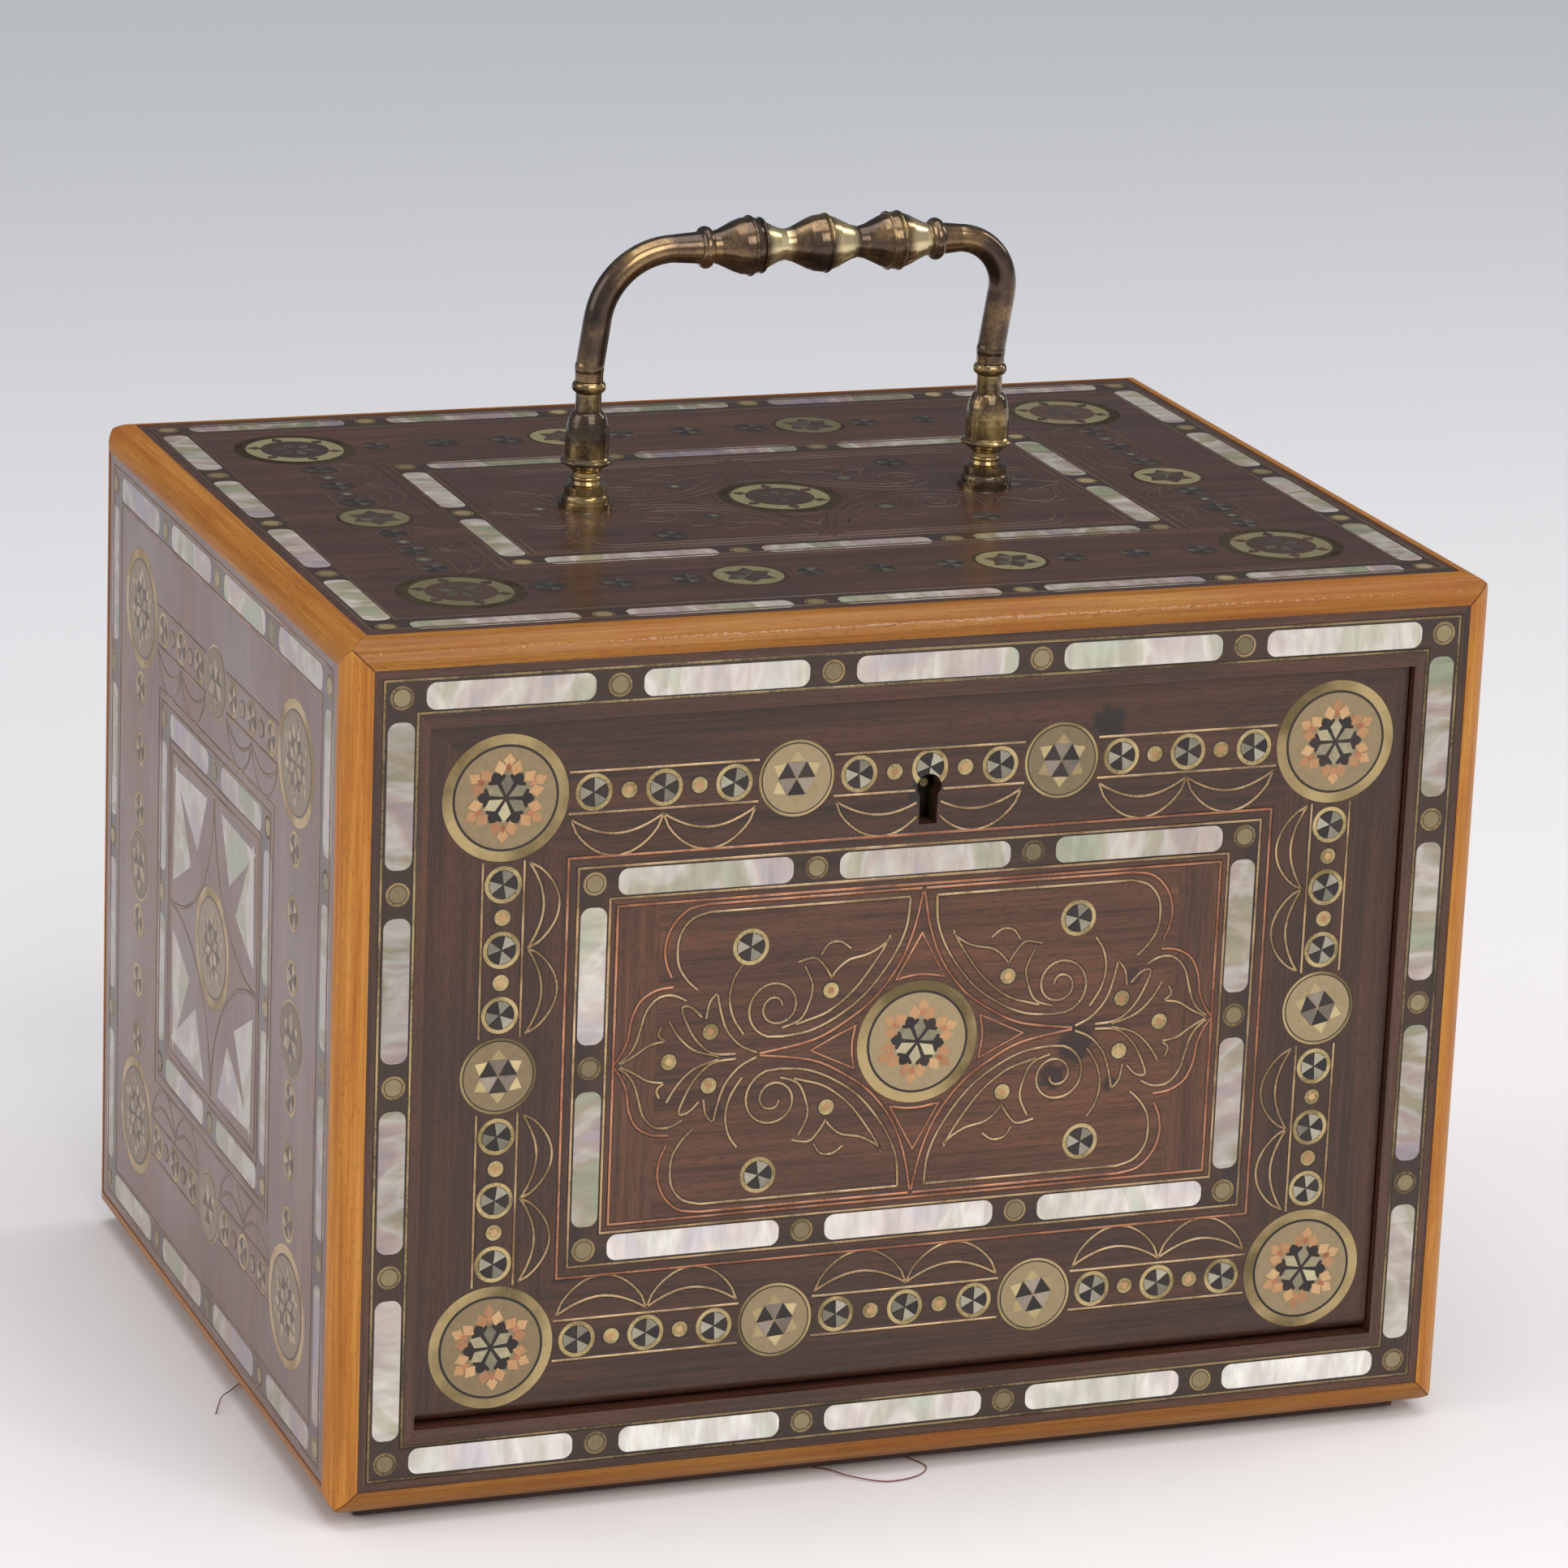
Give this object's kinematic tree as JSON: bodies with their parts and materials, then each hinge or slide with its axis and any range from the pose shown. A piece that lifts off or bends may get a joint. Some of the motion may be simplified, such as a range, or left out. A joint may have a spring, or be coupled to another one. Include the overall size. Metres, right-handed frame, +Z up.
{
  "type": "apothecary box",
  "caption": "Inlaid wooden box with a fall front on hidden pins, a lock, a nest of small drawers over open bottle cells, and a fixed brass handle on its top.",
  "frame": {"origin": "under the middle of the base, where the baize meets the table", "axes": "+X to the right seen from the front, +Y from the fall front to the back, +Z up"},
  "size_m": [0.28, 0.212, 0.2797],
  "materials": {
    "rosewood": "french polished",
    "satinwood": "french polished",
    "pine": "oiled",
    "dark_wood": "stained",
    "pearl": "polished",
    "inlay_brass": "worn satin",
    "old_brass": "dark patina",
    "baize": "napped"
  },
  "bodies": {
    "case": {"top_board": "pine", "bottom_board": "pine", "left_board": "pine", "right_board": "pine", "back_board": "pine", "top_rail": "rosewood", "bottom_rail": "rosewood", "left_stile": "rosewood", "right_stile": "rosewood", "top_veneer": "rosewood", "left_veneer": "rosewood", "right_veneer": "rosewood", "back_veneer": "rosewood", "frame_veneer": "rosewood", "front_edge_mouldings": "satinwood", "back_edge_mouldings": "satinwood", "side_edge_mouldings": "satinwood", "top_pearl_inlay": "pearl", "side_pearl_inlay": "pearl", "back_pearl_inlay": "pearl", "frame_pearl_inlay": "pearl", "top_brass_inlay": "inlay_brass", "side_brass_inlay": "inlay_brass", "back_brass_inlay": "inlay_brass", "frame_brass_inlay": "inlay_brass", "plinth": "dark_wood", "base_baize": "baize", "handle_bail": "old_brass", "handle_posts": "old_brass", "handle_nuts": "old_brass", "side_cheeks": "pine", "top_liner": "pine", "floor_board": "pine", "drawer_shelf": "rosewood", "drawer_dividers": "rosewood", "bottle_dividers": "rosewood", "strike_plate": "inlay_brass"},
    "fall": {"fall_panel": "rosewood", "fall_veneer": "rosewood", "fall_pearl_inlay": "pearl", "fall_brass_inlay": "inlay_brass", "fall_pivots": "inlay_brass", "lock_case": "inlay_brass", "lock_screws": "inlay_brass"},
    "lock_bolt": {"lock_bolt": "inlay_brass"},
    "drawer_1": {"drawer_front_1": "rosewood", "drawer_tray_1": "pine", "drawer_knob_1": "inlay_brass"},
    "drawer_2": {"drawer_front_2": "rosewood", "drawer_tray_2": "pine", "drawer_knob_2": "inlay_brass"},
    "drawer_3": {"drawer_front_3": "rosewood", "drawer_tray_3": "pine", "drawer_knob_3": "inlay_brass"},
    "drawer_4": {"drawer_front_4": "rosewood", "drawer_tray_4": "pine", "drawer_knob_4": "inlay_brass"}
  },
  "joints": [
    {"name": "fall_hinge", "type": "hinge", "parent": "case", "child": "fall", "pos_m": [0, -0.1008, 0.0271], "axis": [1, 0, 0], "range_deg": [0, 90]},
    {"name": "bolt_slide", "type": "slide", "parent": "fall", "child": "lock_bolt", "axis": [0, 0, 1], "range_m": [0, 0.005]},
    {"name": "drawer_1_slide", "type": "slide", "parent": "case", "child": "drawer_1", "axis": [0, -1, 0], "range_m": [0, 0.0945]},
    {"name": "drawer_2_slide", "type": "slide", "parent": "case", "child": "drawer_2", "axis": [0, -1, 0], "range_m": [0, 0.0945]},
    {"name": "drawer_3_slide", "type": "slide", "parent": "case", "child": "drawer_3", "axis": [0, -1, 0], "range_m": [0, 0.0945]},
    {"name": "drawer_4_slide", "type": "slide", "parent": "case", "child": "drawer_4", "axis": [0, -1, 0], "range_m": [0, 0.0945]}
  ],
  "couplings": [
    {"joint": "drawer_1_slide", "follows": "fall_hinge", "m_per_rad": 0.06},
    {"joint": "drawer_2_slide", "follows": "fall_hinge", "m_per_rad": 0.06},
    {"joint": "drawer_3_slide", "follows": "fall_hinge", "m_per_rad": 0.06},
    {"joint": "drawer_4_slide", "follows": "fall_hinge", "m_per_rad": 0.06}
  ]
}
